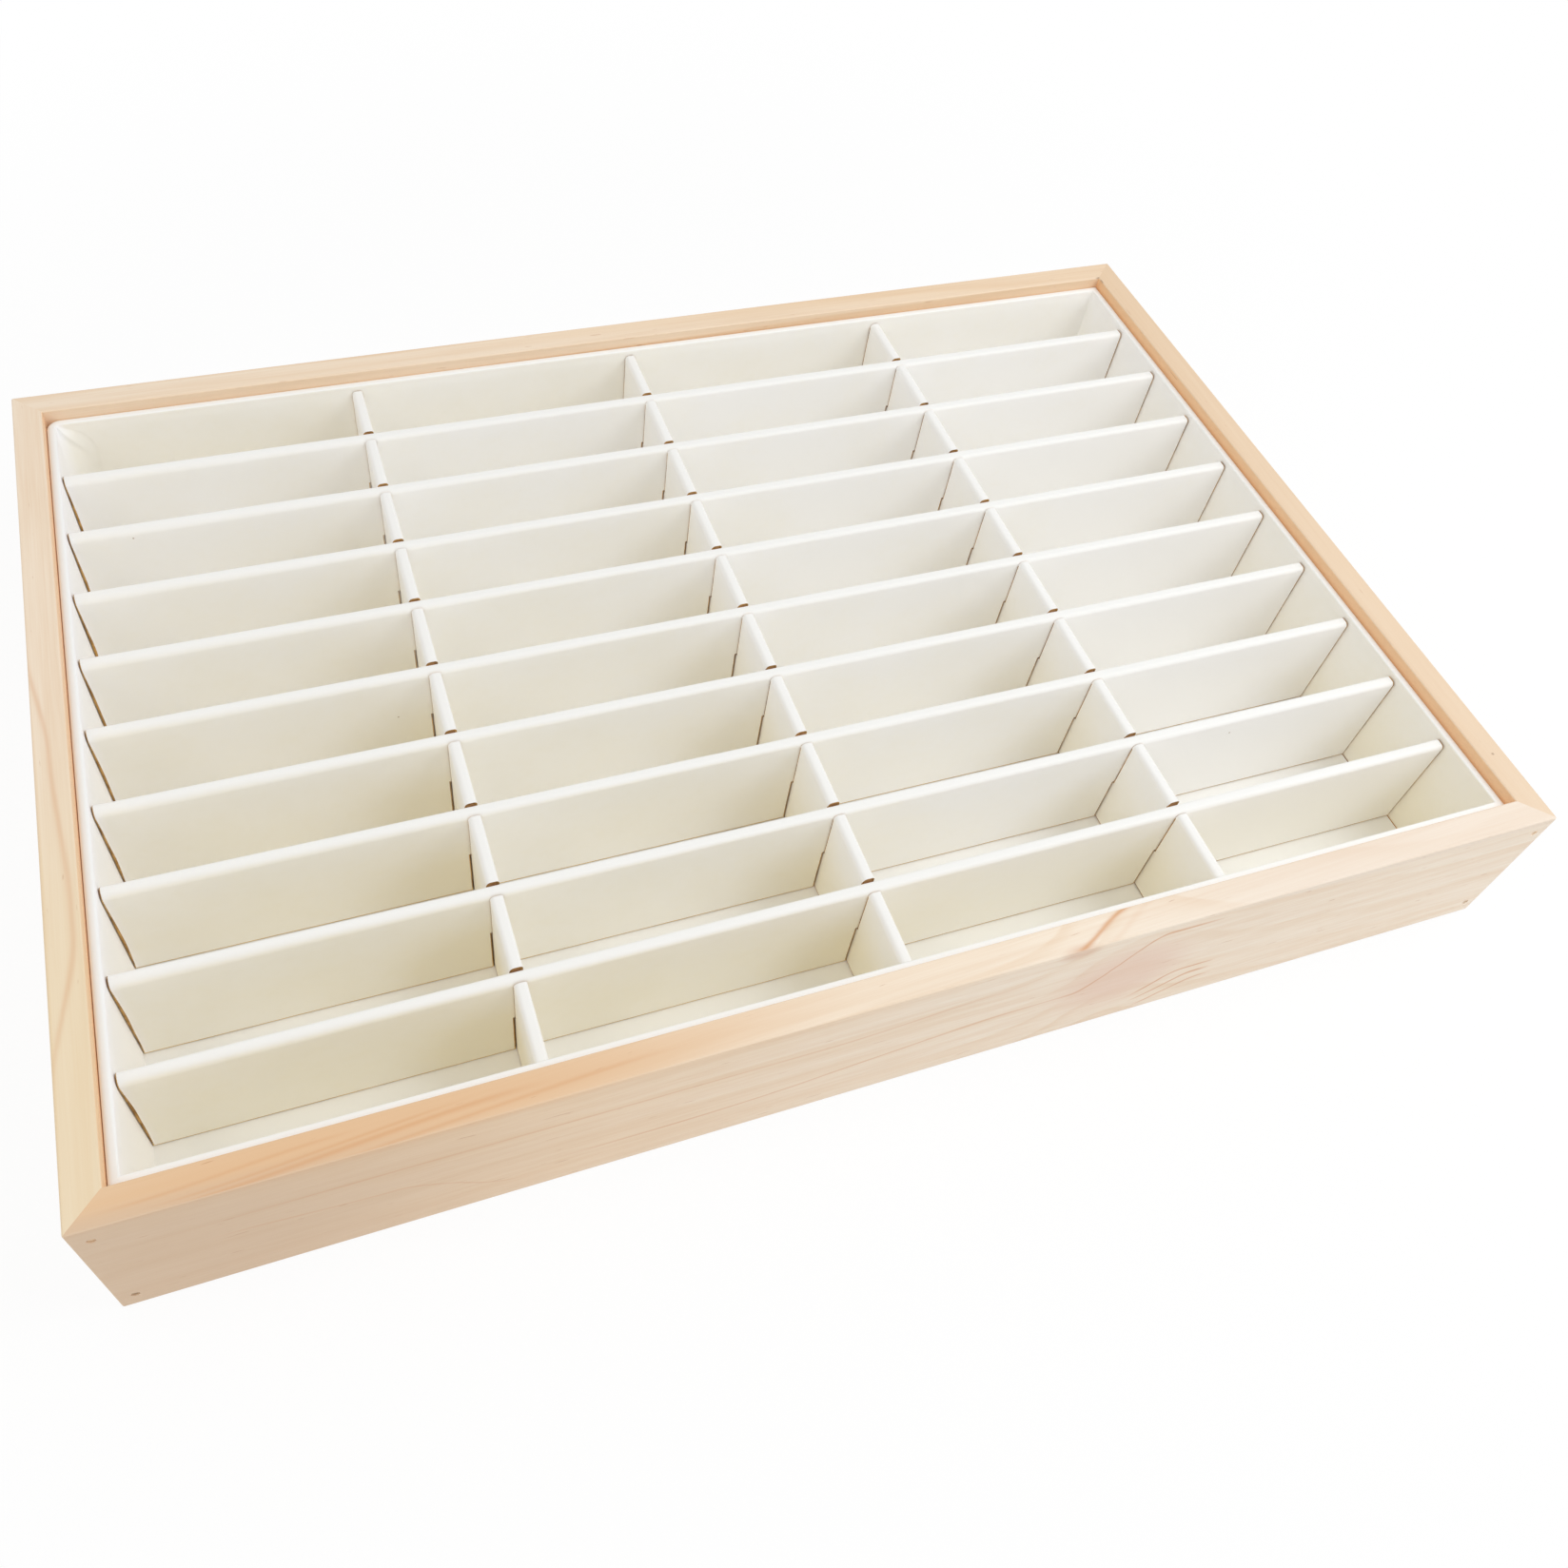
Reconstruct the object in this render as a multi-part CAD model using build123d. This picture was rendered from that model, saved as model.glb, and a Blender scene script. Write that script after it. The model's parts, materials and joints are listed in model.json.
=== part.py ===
from build123d import *
import os

# Open display tray: a mitred pine frame, a lined insert, and a grid of half-lapped dividers.
# Millimetres. The origin is on the resting plane under the tray's middle, +X runs along the long
# side, +Y towards the back and +Z up.

# Wooden frame
frame_length = 350.0
frame_width = 240.0
frame_height = 45.0
rail_thickness = 7.5
rail_edge_radius = 0.5

# Base panel, held in a groove round the inside of the rails
panel_thickness = 3.0
panel_lift = 2.8
groove_depth = 2.5
panel_edge_gap = 0.3

# Brads that pin the mitres, two at each corner
brad_diameter = 1.2
brad_length = 18.0
brad_head_diameter = 1.8
brad_head_thickness = 0.5
brad_sink = 0.4
brad_edge_distance = 5.5
brad_grip = 0.03

# Lined insert that drops into the frame
liner_gap = 0.4
liner_rim_drop = 3.0
floor_board_thickness = 2.0
wall_board_thickness = 1.2
leatherette_thickness = 0.5
rim_radius = 0.9
outer_turn_down = 14.0
soft_corner_radius = 3.4

# Dividers
compartment_rows = 10
compartment_columns = 4
core_thickness = 2.0
core_edge_radius = 0.7
divider_drop = 1.5
divider_end_gap = 0.4
slot_gap_front = 0.1
slot_gap_back = 0.65
slot_gap_side = 0.35
half_lap_slack = 0.6

# Share of a wall that a rounding on each of its two edges may take
ROUNDING_SHARE = 0.45
# How far cutting tools reach past the material
CUT_MARGIN = 5.0

# Heights above the resting plane
panel_top = panel_lift + panel_thickness
floor_board_top = panel_top + floor_board_thickness
floor_top = floor_board_top + leatherette_thickness
rim_top = frame_height - liner_rim_drop
wall_board_top = rim_top - leatherette_thickness
divider_top = rim_top - divider_drop
half_lap_height = (floor_top + divider_top) / 2

# Lengths and widths of the nested rectangles, from the outside in
frame_plan = (frame_length, frame_width)


def inset(plan, distance):
    """The plan rectangle drawn in by a distance on all four sides."""
    return plan[0] - 2 * distance, plan[1] - 2 * distance


opening_plan = inset(frame_plan, rail_thickness)
liner_plan = inset(opening_plan, liner_gap)
board_plan = inset(liner_plan, leatherette_thickness)
board_inner_plan = inset(board_plan, wall_board_thickness)
compartments_plan = inset(board_inner_plan, leatherette_thickness)
liner_wall = wall_board_thickness + 2 * leatherette_thickness
divider_thickness = core_thickness + 2 * leatherette_thickness

ON_FLOOR = (Align.CENTER, Align.CENTER, Align.MIN)


def rounding(radius, wall):
    """An edge radius, held to what its wall can carry."""
    return max(min(radius, wall * ROUNDING_SHARE), 0)


def block(plan, low, high):
    """A rectangular block of a plan size between two heights."""
    return Pos(0, 0, low) * Box(plan[0], plan[1], high - low, align=ON_FLOOR)


def corner_block(plan, low, high, corner_radius):
    """A block whose upright edge at the back left corner is rounded."""
    body = block(plan, low, high)
    upright = body.edges().filter_by(Axis.Z)
    back_left = upright.sort_by(lambda edge: edge.center().X - edge.center().Y)[0]
    return fillet(back_left, corner_radius) if corner_radius > 0 else body


def mitred_sides(ring, plan, depth):
    """Splits a rectangular ring along its four mitre planes."""
    half_x, half_y = plan[0] / 2, plan[1] / 2
    low = ring.bounding_box().min.Z - CUT_MARGIN
    height = ring.bounding_box().size.Z + 2 * CUT_MARGIN
    reach = depth + CUT_MARGIN
    out_x, out_y = half_x + CUT_MARGIN, half_y + CUT_MARGIN
    in_x, in_y = half_x - reach, half_y - reach
    wedges = {
        "front": [(-out_x, -out_y), (out_x, -out_y), (in_x, -in_y), (-in_x, -in_y)],
        "back": [(-out_x, out_y), (-in_x, in_y), (in_x, in_y), (out_x, out_y)],
        "left": [(-out_x, -out_y), (-in_x, -in_y), (-in_x, in_y), (-out_x, out_y)],
        "right": [(out_x, -out_y), (out_x, out_y), (in_x, in_y), (in_x, -in_y)],
    }
    sides = {}
    for name, corners in wedges.items():
        outline = make_face(Polyline(*corners, close=True))
        wedge = Pos(0, 0, low) * extrude(outline, amount=height, dir=(0, 0, 1))
        sides[name] = ring & wedge
    return sides


def upright_cylinder(diameter, height):
    return Cylinder(diameter / 2, height, align=ON_FLOOR)


def at_brads(shape):
    """Copies of a shape, drawn pointing up from its brad's head face, at every brad in the frame."""
    copies = []
    brad_x = frame_length / 2 - rail_thickness / 2
    for side_x in (-1, 1):
        for side_y in (-1, 1):
            for height in (brad_edge_distance, frame_height - brad_edge_distance):
                place = Pos(side_x * brad_x, side_y * frame_width / 2, height)
                copies.append(place * Rot(90 * side_y, 0, 0) * shape)
    return copies


def corner_brads():
    """Headed brads, sunk a little below the face of the front and back rails."""
    head = Pos(0, 0, brad_sink) * upright_cylinder(brad_head_diameter, brad_head_thickness)
    shank = Pos(0, 0, brad_sink) * upright_cylinder(brad_diameter, brad_length)
    return at_brads(head + shank)


def brad_holes():
    """What each brad takes out of the wood: a tight hole, and an open pocket for the sunk head."""
    tight = upright_cylinder(brad_diameter - 2 * brad_grip, brad_sink + brad_length)
    pocket = upright_cylinder(brad_head_diameter, brad_sink + brad_head_thickness)
    return at_brads(tight + pocket)


def rails():
    """The pine frame: eased edges, a groove for the base panel, brad holes and mitred corners."""
    outside = block(frame_plan, 0, frame_height)
    ring = outside - block(opening_plan, -CUT_MARGIN, frame_height + CUT_MARGIN)
    flat = ring.edges().filter_by(GeomType.LINE)
    level_edges = flat.filter_by(Plane.XY)
    outer_uprights = flat.filter_by(Axis.Z).group_by(lambda edge: abs(edge.center().X))[-1]
    lip = min(rail_thickness, panel_lift)
    ring = fillet(level_edges + outer_uprights, rounding(rail_edge_radius, lip))
    ring -= block(inset(opening_plan, -groove_depth), panel_lift, panel_top)
    for hole in brad_holes():
        ring -= hole
    return mitred_sides(ring, frame_plan, rail_thickness)


def base_panel():
    return block(inset(opening_plan, panel_edge_gap - groove_depth), panel_lift, panel_top)


def top_rounded(body, radius):
    """A body with every edge round its top face rounded."""
    return fillet(body.faces().sort_by(Axis.Z)[-1].edges(), radius) if radius > 0 else body


def wall_ring(outer_plan, wall, low, high, corner_radius, edge_radius):
    """A closed wall with a rounded rim and one soft upright corner at the back left."""
    hollow = corner_block(inset(outer_plan, wall), low - CUT_MARGIN, high + CUT_MARGIN,
                          max(corner_radius - wall, 0))
    ring = corner_block(outer_plan, low, high, corner_radius) - hollow
    return top_rounded(ring, rounding(edge_radius, wall))


def wall_board_ring():
    return wall_ring(board_plan, wall_board_thickness, floor_board_top, wall_board_top,
                     soft_corner_radius - leatherette_thickness,
                     rim_radius - leatherette_thickness)


def liner_wall_wrap():
    """Leatherette up the inside of the wall boards, over their rims and a little way down outside."""
    wrap = wall_ring(liner_plan, liner_wall, floor_board_top, rim_top, soft_corner_radius, rim_radius)
    wrap -= wall_board_ring()
    bare_top = rim_top - outer_turn_down
    bare = block(inset(liner_plan, -CUT_MARGIN), floor_board_top - CUT_MARGIN, bare_top)
    kept = corner_block(board_plan, floor_board_top - CUT_MARGIN, bare_top + CUT_MARGIN,
                        soft_corner_radius - leatherette_thickness)
    return wrap - (bare - kept)


def upright_strip(length, thickness, top, edge_radius):
    """A board along X standing on the floor, with the two long edges of its top rounded."""
    body = block((length, thickness), floor_top, top)
    long_top = body.edges().filter_by(Axis.X).group_by(Axis.Z)[-1]
    return fillet(long_top, rounding(edge_radius, thickness))


def divider(length, slots):
    """A fibreboard core and the leatherette folded over it, both cut by the same slots."""
    core = upright_strip(length, core_thickness, divider_top - leatherette_thickness, core_edge_radius)
    wrapped = upright_strip(length, divider_thickness, divider_top,
                            core_edge_radius + leatherette_thickness)
    wrap = wrapped - core
    for slot in slots:
        core -= slot
        wrap -= slot
    return core, wrap


def slot_at(along, gap_before, gap_after, low, high):
    """A slot through a divider, for one that crosses it at a place along its length."""
    width = divider_thickness + gap_before + gap_after
    middle = along + (gap_after - gap_before) / 2
    return Pos(middle, 0, 0) * block((width, divider_thickness + CUT_MARGIN), low, high)


def evenly_spaced(inner_size, count):
    """Middles of the dividers that part an inner size into equal compartments."""
    pitch = (inner_size + divider_thickness) / count
    return [pitch * (place - count / 2) for place in range(1, count)]


column_lines = evenly_spaced(compartments_plan[0], compartment_columns)
row_lines = evenly_spaced(compartments_plan[1], compartment_rows)


def long_divider(y):
    """Runs the whole length, with slots open at the bottom that straddle the cross dividers."""
    slots = [slot_at(x, slot_gap_side, slot_gap_side, floor_top - CUT_MARGIN,
                     half_lap_height + half_lap_slack / 2) for x in column_lines]
    core, wrap = divider(compartments_plan[0] - 2 * divider_end_gap, slots)
    return Pos(0, y, 0) * core, Pos(0, y, 0) * wrap


def cross_divider(x):
    """Runs front to back, with slots open at the top that take the long dividers."""
    slots = [slot_at(y, slot_gap_front, slot_gap_back, half_lap_height - half_lap_slack / 2,
                     divider_top + CUT_MARGIN) for y in row_lines]
    core, wrap = divider(compartments_plan[1] - 2 * divider_end_gap, slots)
    turn = Pos(x, 0, 0) * Rot(0, 0, 90)
    return turn * core, turn * wrap


def all_pieces():
    pieces = {"base_panel": base_panel(), "corner_brads": Compound(children=corner_brads())}
    for side, rail in rails().items():
        pieces[side + "_rail"] = rail
    for side, board in mitred_sides(wall_board_ring(), board_plan, wall_board_thickness).items():
        pieces["liner_" + side + "_board"] = board
    pieces["liner_floor_board"] = corner_block(board_plan, panel_top, floor_board_top,
                                               soft_corner_radius - leatherette_thickness)
    pieces["liner_floor_wrap"] = corner_block(compartments_plan, floor_board_top, floor_top,
                                              max(soft_corner_radius - liner_wall, 0))
    pieces["liner_wall_wrap"] = liner_wall_wrap()
    for number, x in enumerate(column_lines, 1):
        core, wrap = cross_divider(x)
        pieces["cross_divider_" + str(number) + "_core"] = core
        pieces["cross_divider_" + str(number) + "_wrap"] = wrap
    for number, y in enumerate(reversed(row_lines), 1):
        core, wrap = long_divider(y)
        pieces["long_divider_" + str(number) + "_core"] = core
        pieces["long_divider_" + str(number) + "_wrap"] = wrap
    return pieces


os.makedirs("parts", exist_ok=True)
for node, shape in all_pieces().items():
    export_step(shape, "parts/" + node + ".step")
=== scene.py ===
import json
import math
from collections import namedtuple

import bpy
from mathutils import Matrix, Vector, noise

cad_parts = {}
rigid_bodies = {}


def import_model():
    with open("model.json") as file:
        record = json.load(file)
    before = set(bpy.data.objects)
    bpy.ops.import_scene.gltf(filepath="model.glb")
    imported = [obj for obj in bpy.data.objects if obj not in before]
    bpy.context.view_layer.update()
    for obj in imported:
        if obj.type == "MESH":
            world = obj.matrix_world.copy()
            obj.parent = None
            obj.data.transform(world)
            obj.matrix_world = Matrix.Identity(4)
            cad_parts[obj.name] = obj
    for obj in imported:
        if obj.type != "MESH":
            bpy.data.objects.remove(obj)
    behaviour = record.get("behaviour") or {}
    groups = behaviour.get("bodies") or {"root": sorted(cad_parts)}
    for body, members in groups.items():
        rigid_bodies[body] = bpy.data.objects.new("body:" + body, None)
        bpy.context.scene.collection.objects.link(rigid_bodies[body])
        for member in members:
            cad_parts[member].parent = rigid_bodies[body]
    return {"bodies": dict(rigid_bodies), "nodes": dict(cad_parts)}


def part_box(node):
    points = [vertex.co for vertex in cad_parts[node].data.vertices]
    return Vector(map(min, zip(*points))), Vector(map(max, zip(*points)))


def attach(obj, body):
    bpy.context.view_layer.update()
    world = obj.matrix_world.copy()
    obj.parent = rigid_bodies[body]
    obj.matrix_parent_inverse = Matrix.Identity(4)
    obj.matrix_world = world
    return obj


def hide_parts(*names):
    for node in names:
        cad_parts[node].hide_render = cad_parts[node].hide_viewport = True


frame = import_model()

MM = 0.001

# Sizes and counts repeated from the part's source, in millimetres
LINER_WALL = 2.2
TURN_DOWN = 14.0
SOFT_CORNER_RADIUS = 3.4
HALF_LAP_SLACK = 0.6
SLOT_GAP_FRONT = 0.1
SLOT_GAP_BACK = 0.65
SLOT_GAP_SIDE = 0.35
COLUMN_PITCH = 83.2
CROSS_NUMBERS = range(1, 4)
LONG_NUMBERS = range(1, 10)

X_AXIS = (1.0, 0.0, 0.0)
Y_AXIS = (0.0, 1.0, 0.0)
Z_AXIS = (0.0, 0.0, 1.0)
LEFTWARDS = (-1.0, 0.0, 0.0)
FRONTWARDS = (0.0, -1.0, 0.0)
WHITE = (1.0, 1.0, 1.0, 1.0)


def clear_stray_objects():
    """Removes whatever the start-up file holds besides the frame."""
    kept = set(frame["nodes"].values()) | set(frame["bodies"].values())
    for thing in list(bpy.data.objects):
        if thing not in kept:
            bpy.data.objects.remove(thing)


clear_stray_objects()
bpy.context.view_layer.update()


def box_mm(node):
    """A node's lowest and highest corner, in millimetres."""
    low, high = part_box(node)
    return low / MM, high / MM


def add_object(name, data):
    """A new object in the scene, with its mesh, camera or lamp."""
    made = bpy.data.objects.new(name, data)
    bpy.context.scene.collection.objects.link(made)
    return made


def srgb(red, green, blue):
    """A colour given in 0 to 255 display values, as the shader's linear values."""
    linear = []
    for value in (red, green, blue):
        share = value / 255
        linear.append(share / 12.92 if share <= 0.04045 else ((share + 0.055) / 1.055) ** 2.4)
    return (*linear, 1.0)


# Node trees


class Nodes:
    """The node tree of a material or a world, with short calls for its nodes."""

    def __init__(self, owner):
        owner.use_nodes = True
        self.tree = owner.node_tree
        self.tree.nodes.clear()

    def new(self, kind, **settings):
        made = self.tree.nodes.new(kind)
        for name, value in settings.items():
            setattr(made, name, value)
        return made

    def fill(self, made, *values, **named):
        """Joins sockets to a node's first inputs and to those named, or sets plain values on them. Names
        have underscores here for spaces. The result is the node's outputs."""
        pairs = list(zip(values, made.inputs))
        pairs += [(value, made.inputs[name.replace("_", " ")]) for name, value in named.items()]
        for value, socket in pairs:
            if isinstance(value, bpy.types.NodeSocket):
                self.tree.links.new(value, socket)
            else:
                socket.default_value = value
        return made.outputs

    def node(self, kind, *values, **named):
        """The first output of a new node with these inputs."""
        return self.fill(self.new(kind), *values, **named)[0]

    def math(self, operation, *values):
        return self.fill(self.new("ShaderNodeMath", operation=operation), *values)[0]

    def add(self, first, second):
        return self.math("ADD", first, second)

    def minus(self, first, second):
        return self.math("SUBTRACT", first, second)

    def times(self, first, second):
        return self.math("MULTIPLY", first, second)

    def over(self, first, second):
        return self.math("DIVIDE", first, second)

    def vector(self, operation, *values, **named):
        outputs = self.fill(self.new("ShaderNodeVectorMath", operation=operation), *values, **named)
        return outputs["Value" if operation in ("DOT_PRODUCT", "LENGTH") else "Vector"]

    def between(self, value, low, high, to_low=0, to_high=1):
        """Maps low..high smoothly to to_low..to_high, and holds it at both ends."""
        made = self.new("ShaderNodeMapRange", interpolation_type="SMOOTHSTEP")
        return self.fill(made, value, low, high, to_low, to_high)["Result"]


class Material(Nodes):
    """A material's node tree, whose lengths are in millimetres. Its colour is built up by tints."""

    def __init__(self, name):
        self.material = bpy.data.materials.new(name)
        super().__init__(self.material)
        coordinates = self.new("ShaderNodeTexCoord")
        self.place = self.vector("SCALE", coordinates.outputs["Object"], Scale=1 / MM)
        self.normal = coordinates.outputs["Normal"]

    def split(self, vector):
        return self.fill(self.new("ShaderNodeSeparateXYZ"), vector)

    def noise(self, place, scale, detail, roughness=0.5, distortion=0):
        return self.node("ShaderNodeTexNoise", Vector=place, Scale=scale, Detail=detail,
                         Roughness=roughness, Distortion=distortion)

    def cells(self, scale, feature="F1"):
        made = self.new("ShaderNodeTexVoronoi", feature=feature)
        return self.fill(made, Vector=self.place, Scale=scale)["Distance"]

    def hill(self, value, middle, width):
        """A smooth hill of height 1 about a value."""
        away = self.over(self.minus(value, middle), width)
        return self.math("EXPONENT", self.times(self.times(away, away), -1))

    def mix(self, share, first, second):
        made = self.new("ShaderNodeMix", data_type="RGBA")
        return self.fill(made, Factor=share, A=first, B=second)["Result"]

    def tint(self, share, colour):
        """Mixes a share of another colour into the material's own."""
        self.colour = self.mix(share, self.colour, colour)

    def finish(self, roughness, relief, distance, strength, **others):
        """Ends the tree in a Principled shader. distance is the height of the relief's bump."""
        bump = self.node("ShaderNodeBump", Strength=strength, Distance=distance * MM, Height=relief)
        surface = self.node("ShaderNodeBsdfPrincipled", Base_Color=self.colour, Roughness=roughness,
                            Normal=bump, **others)
        self.fill(self.new("ShaderNodeOutputMaterial"), surface)
        return self.material


# Pine

PINE_CREAM = srgb(247, 234, 217)
PINE_ORANGE = srgb(238, 206, 168)
PINE_LINE = srgb(220, 180, 136)
PINE_HONEY = srgb(229, 188, 146)
PINE_STROKE = srgb(214, 152, 98)
# The orange of the painted shade on the rails' inner faces
PINE_INNER_SHADE = srgb(248, 198, 146)
PINE_PINK = srgb(233, 199, 180)
PINE_EDGE = srgb(249, 237, 219)
PINE_FLECK = srgb(186, 128, 82)
PINE_KNOT = srgb(120, 84, 58)
PINE_STRAW = srgb(234, 213, 170)
PINE_DRY = srgb(222, 198, 172)
PINE_PALE = srgb(232, 216, 202)
# The greyer wood of the painted shade at the front face's left end
PINE_SHADE_GREY = srgb(206, 182, 160)
PINE_RESIN = srgb(206, 152, 116)

# How far each pattern is drawn out along the board, from 0 to 1, which is without end
RING_STRETCH = 0.93
THREAD_STRETCH = 0.985
STREAK_STRETCH = 0.96
FLECK_STRETCH = 0.9

# How far the growth rings stray, in millimetres, and what keeps their count above nothing
MEANDER = 13
RIPPLE = 1.6
RING_START = 500

# How far a single ring strays, in millimetres, and the share of its length that fades at each end
STROKE_WAVER = 2
STROKE_FADE = 0.25
# The share of a stain's reach in which it is at its strongest
STAIN_CORE = 0.3

# The share of orange wood at two places along the board, low and high
Tone = namedtuple("Tone", "low high at_low at_high")
# A bend of the growth rings about a place along the board
Swell = namedtuple("Swell", "middle width height")
# A soft coloured area, with its reach each way
Stain = namedtuple("Stain", "middle reach share colour")
# One dark ring along the board. Its level is measured along an axis, and its rises move it
Stroke = namedtuple("Stroke", "axis rises base start end width share")
# A climb by a height between two places along the board
Rise = namedtuple("Rise", "height low high")


class Pine(Material):
    """Sanded pine. along is the board's direction, and across the one in which its growth rings follow
    each other. offset picks the stretch of the pattern that the board shows, and drift is how far the
    grain moves aside for each millimetre along."""

    def __init__(self, name, along, across, offset, drift=(0, 0, 0)):
        super().__init__(name)
        self.along = along
        self.run = self.vector("DOT_PRODUCT", self.place, along)
        self.rise = self.vector("DOT_PRODUCT", self.place, across)
        run_each_way = self.node("ShaderNodeCombineXYZ", self.run, self.run, self.run)
        drifted = self.vector("MULTIPLY", run_each_way, drift)
        self.grain = self.vector("SUBTRACT", self.vector("ADD", self.place, offset), drifted)
        self.ripple = self.drawn_out(RING_STRETCH, scale=0.16, detail=2)
        self.threads = self.drawn_out(THREAD_STRETCH, scale=2.2, detail=3, roughness=0.65)
        self.on_top = self.between(self.split(self.normal)[2], 0.6, 0.95)

    def drawn_out(self, stretch, scale, detail, roughness=0.5):
        """A noise drawn out along the board."""
        shares = [1 - stretch * abs(part) for part in self.along]
        return self.noise(self.vector("MULTIPLY", self.grain, shares), scale, detail, roughness)

    def ring_phase(self, spacing, swells):
        """Goes from 0 to 1 through each growth ring."""
        meander = self.drawn_out(RING_STRETCH, scale=0.035, detail=2)
        field = self.add(self.rise, self.times(meander, MEANDER))
        field = self.add(field, self.times(self.ripple, RIPPLE))
        for swell in swells:
            bend = self.times(self.hill(self.run, swell.middle, swell.width), swell.height)
            field = self.minus(field, bend)
        return self.math("FRACT", self.over(self.add(field, RING_START), spacing))

    def late_wood(self, phase):
        """The dark line that ends each ring. It comes and goes along the board."""
        line = self.times(self.between(phase, 0.60, 0.93), self.between(phase, 0.94, 1, 1, 0))
        waxing = self.drawn_out(RING_STRETCH, scale=0.09, detail=1)
        return self.times(line, self.between(waxing, 0.35, 0.7, 0.25, 1))

    def lay_ground(self, phase, line, tone, contrast):
        """The cream and orange of the wood, with its rings, streaks and threads."""
        clouds = self.drawn_out(RING_STRETCH, scale=0.07, detail=2)
        patch = self.between(clouds, 0.34, 0.66, -0.2 * contrast, 0.2 * contrast)
        streaks = self.drawn_out(STREAK_STRETCH, scale=0.45, detail=3, roughness=0.6)
        self.colour = self.mix(self.add(self.between(self.run, *tone), patch), PINE_CREAM, PINE_ORANGE)
        self.tint(self.times(self.between(phase, 0, 0.9), 0.25 * contrast), PINE_ORANGE)
        self.tint(self.times(line, 0.62 * contrast), PINE_LINE)
        self.tint(self.between(streaks, 0.35, 0.75, 0, 0.22), PINE_LINE)
        self.tint(self.between(self.threads, 0.3, 0.75, 0, 0.14), PINE_LINE)

    def lay_stain(self, stain):
        away = self.vector("DIVIDE", self.vector("SUBTRACT", self.place, stain.middle), stain.reach)
        share = self.between(self.vector("LENGTH", away), STAIN_CORE, 1, stain.share, 0)
        self.tint(share, stain.colour)

    def stroke_share(self, stroke):
        """How strongly a stroke shows. One that isn't measured upwards is on the top face alone."""
        level = self.vector("DOT_PRODUCT", self.place, stroke.axis)
        level = self.minus(level, self.times(self.ripple, STROKE_WAVER))
        level = self.minus(level, stroke.base - STROKE_WAVER / 2)
        for rise in stroke.rises:
            level = self.minus(level, self.between(self.run, rise.low, rise.high, 0, rise.height))
        fade = (stroke.end - stroke.start) * STROKE_FADE
        drawn = self.times(self.between(self.run, stroke.start, stroke.start + fade, 0, stroke.share),
                           self.between(self.run, stroke.end - fade, stroke.end, 1, 0))
        if stroke.axis != Z_AXIS:
            drawn = self.times(drawn, self.on_top)
        return self.times(self.hill(level, 0, stroke.width), drawn)

    def eased_edge(self):
        """1 on the rounded edges, which face along none of the axes."""
        facing = self.split(self.vector("ABSOLUTE", self.normal))
        flat = self.math("MAXIMUM", self.math("MAXIMUM", facing[0], facing[1]), facing[2])
        return self.between(flat, 0.8, 0.97, 1, 0)

    def board(self, ring, tone, contrast, inward, inner_shade_share, swells=(), stains=(), strokes=()):
        """The finished material. ring is the spacing of the growth rings. inward is where the inner face
        looks, which is given a more orange painted shade by the share that follows it."""
        phase = self.ring_phase(ring, swells)
        line = self.late_wood(phase)
        self.lay_ground(phase, line, tone, contrast)
        for stain in stains:
            self.lay_stain(stain)
        # Painted shade: the inner face, which looks into the tray, is more orange
        looks_in = self.vector("DOT_PRODUCT", self.normal, inward)
        self.tint(self.between(looks_in, 0.5, 0.95, 0, inner_shade_share), PINE_INNER_SHADE)
        for stroke in strokes:
            self.tint(self.stroke_share(stroke), PINE_STROKE)
        flecks = self.drawn_out(FLECK_STRETCH, scale=1.5, detail=1)
        self.tint(self.times(self.between(flecks, 0.735, 0.8), 0.4), PINE_FLECK)
        self.tint(self.times(self.eased_edge(), 0.12), PINE_EDGE)
        roughness = self.between(self.threads, 0.2, 0.8, 0.46, 0.62)
        relief = self.add(self.times(self.threads, 0.7), self.times(line, 0.5))
        return self.finish(roughness, relief, distance=0.035, strength=0.6, Specular_IOR_Level=0.32)


def front_face_strokes():
    """Faint long rings, a strong one that climbs past the pink patch, and three short ones right of it."""
    return [
        Stroke(Z_AXIS, [Rise(8, -50, 30)], base=13, start=-92, end=58, width=0.34, share=0.5),
        Stroke(Z_AXIS, [Rise(20, 42, 63)], base=21, start=36, end=80, width=0.46, share=0.75),
        Stroke(Z_AXIS, [Rise(3, -20, 20), Rise(6, 20, 46)],
               base=31, start=-172, end=50, width=0.32, share=0.35),
        Stroke(Z_AXIS, [Rise(-3, -152, -115), Rise(-12.6, -117, -90)],
               base=23.7, start=-158, end=-84, width=0.3, share=0.35),
        Stroke(Z_AXIS, [Rise(8, 60, 76)], base=9, start=61, end=86, width=0.4, share=0.85),
        Stroke(Z_AXIS, [Rise(8, 62, 80)], base=5.5, start=63, end=86, width=0.4, share=0.8),
        Stroke(Z_AXIS, [Rise(8, 64, 84)], base=2, start=65, end=88, width=0.4, share=0.7),
    ]


def front_top_strokes():
    """A dark streak across the rail's top with a fainter one beside it, and four long rings at the left."""
    return [
        Stroke(Y_AXIS, [Rise(9.5, 31, 58)], base=-121.5, start=30, end=59, width=0.6, share=0.7),
        Stroke(Y_AXIS, [Rise(9.5, 40, 64)], base=-121.5, start=39, end=65, width=0.8, share=0.12),
        Stroke(Y_AXIS, [Rise(4.6, -166, -84)], base=-120.6, start=-170, end=-78, width=0.6, share=0.4),
        Stroke(Y_AXIS, [Rise(4.2, -160, -92)], base=-119, start=-165, end=-96, width=0.4, share=0.3),
        Stroke(Y_AXIS, [Rise(4.6, -138, -58)], base=-120.8, start=-140, end=-52, width=0.45, share=0.3),
        Stroke(Y_AXIS, [Rise(2.6, -170, -120)], base=-117.6, start=-172, end=-118, width=0.4, share=0.25),
    ]


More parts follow.
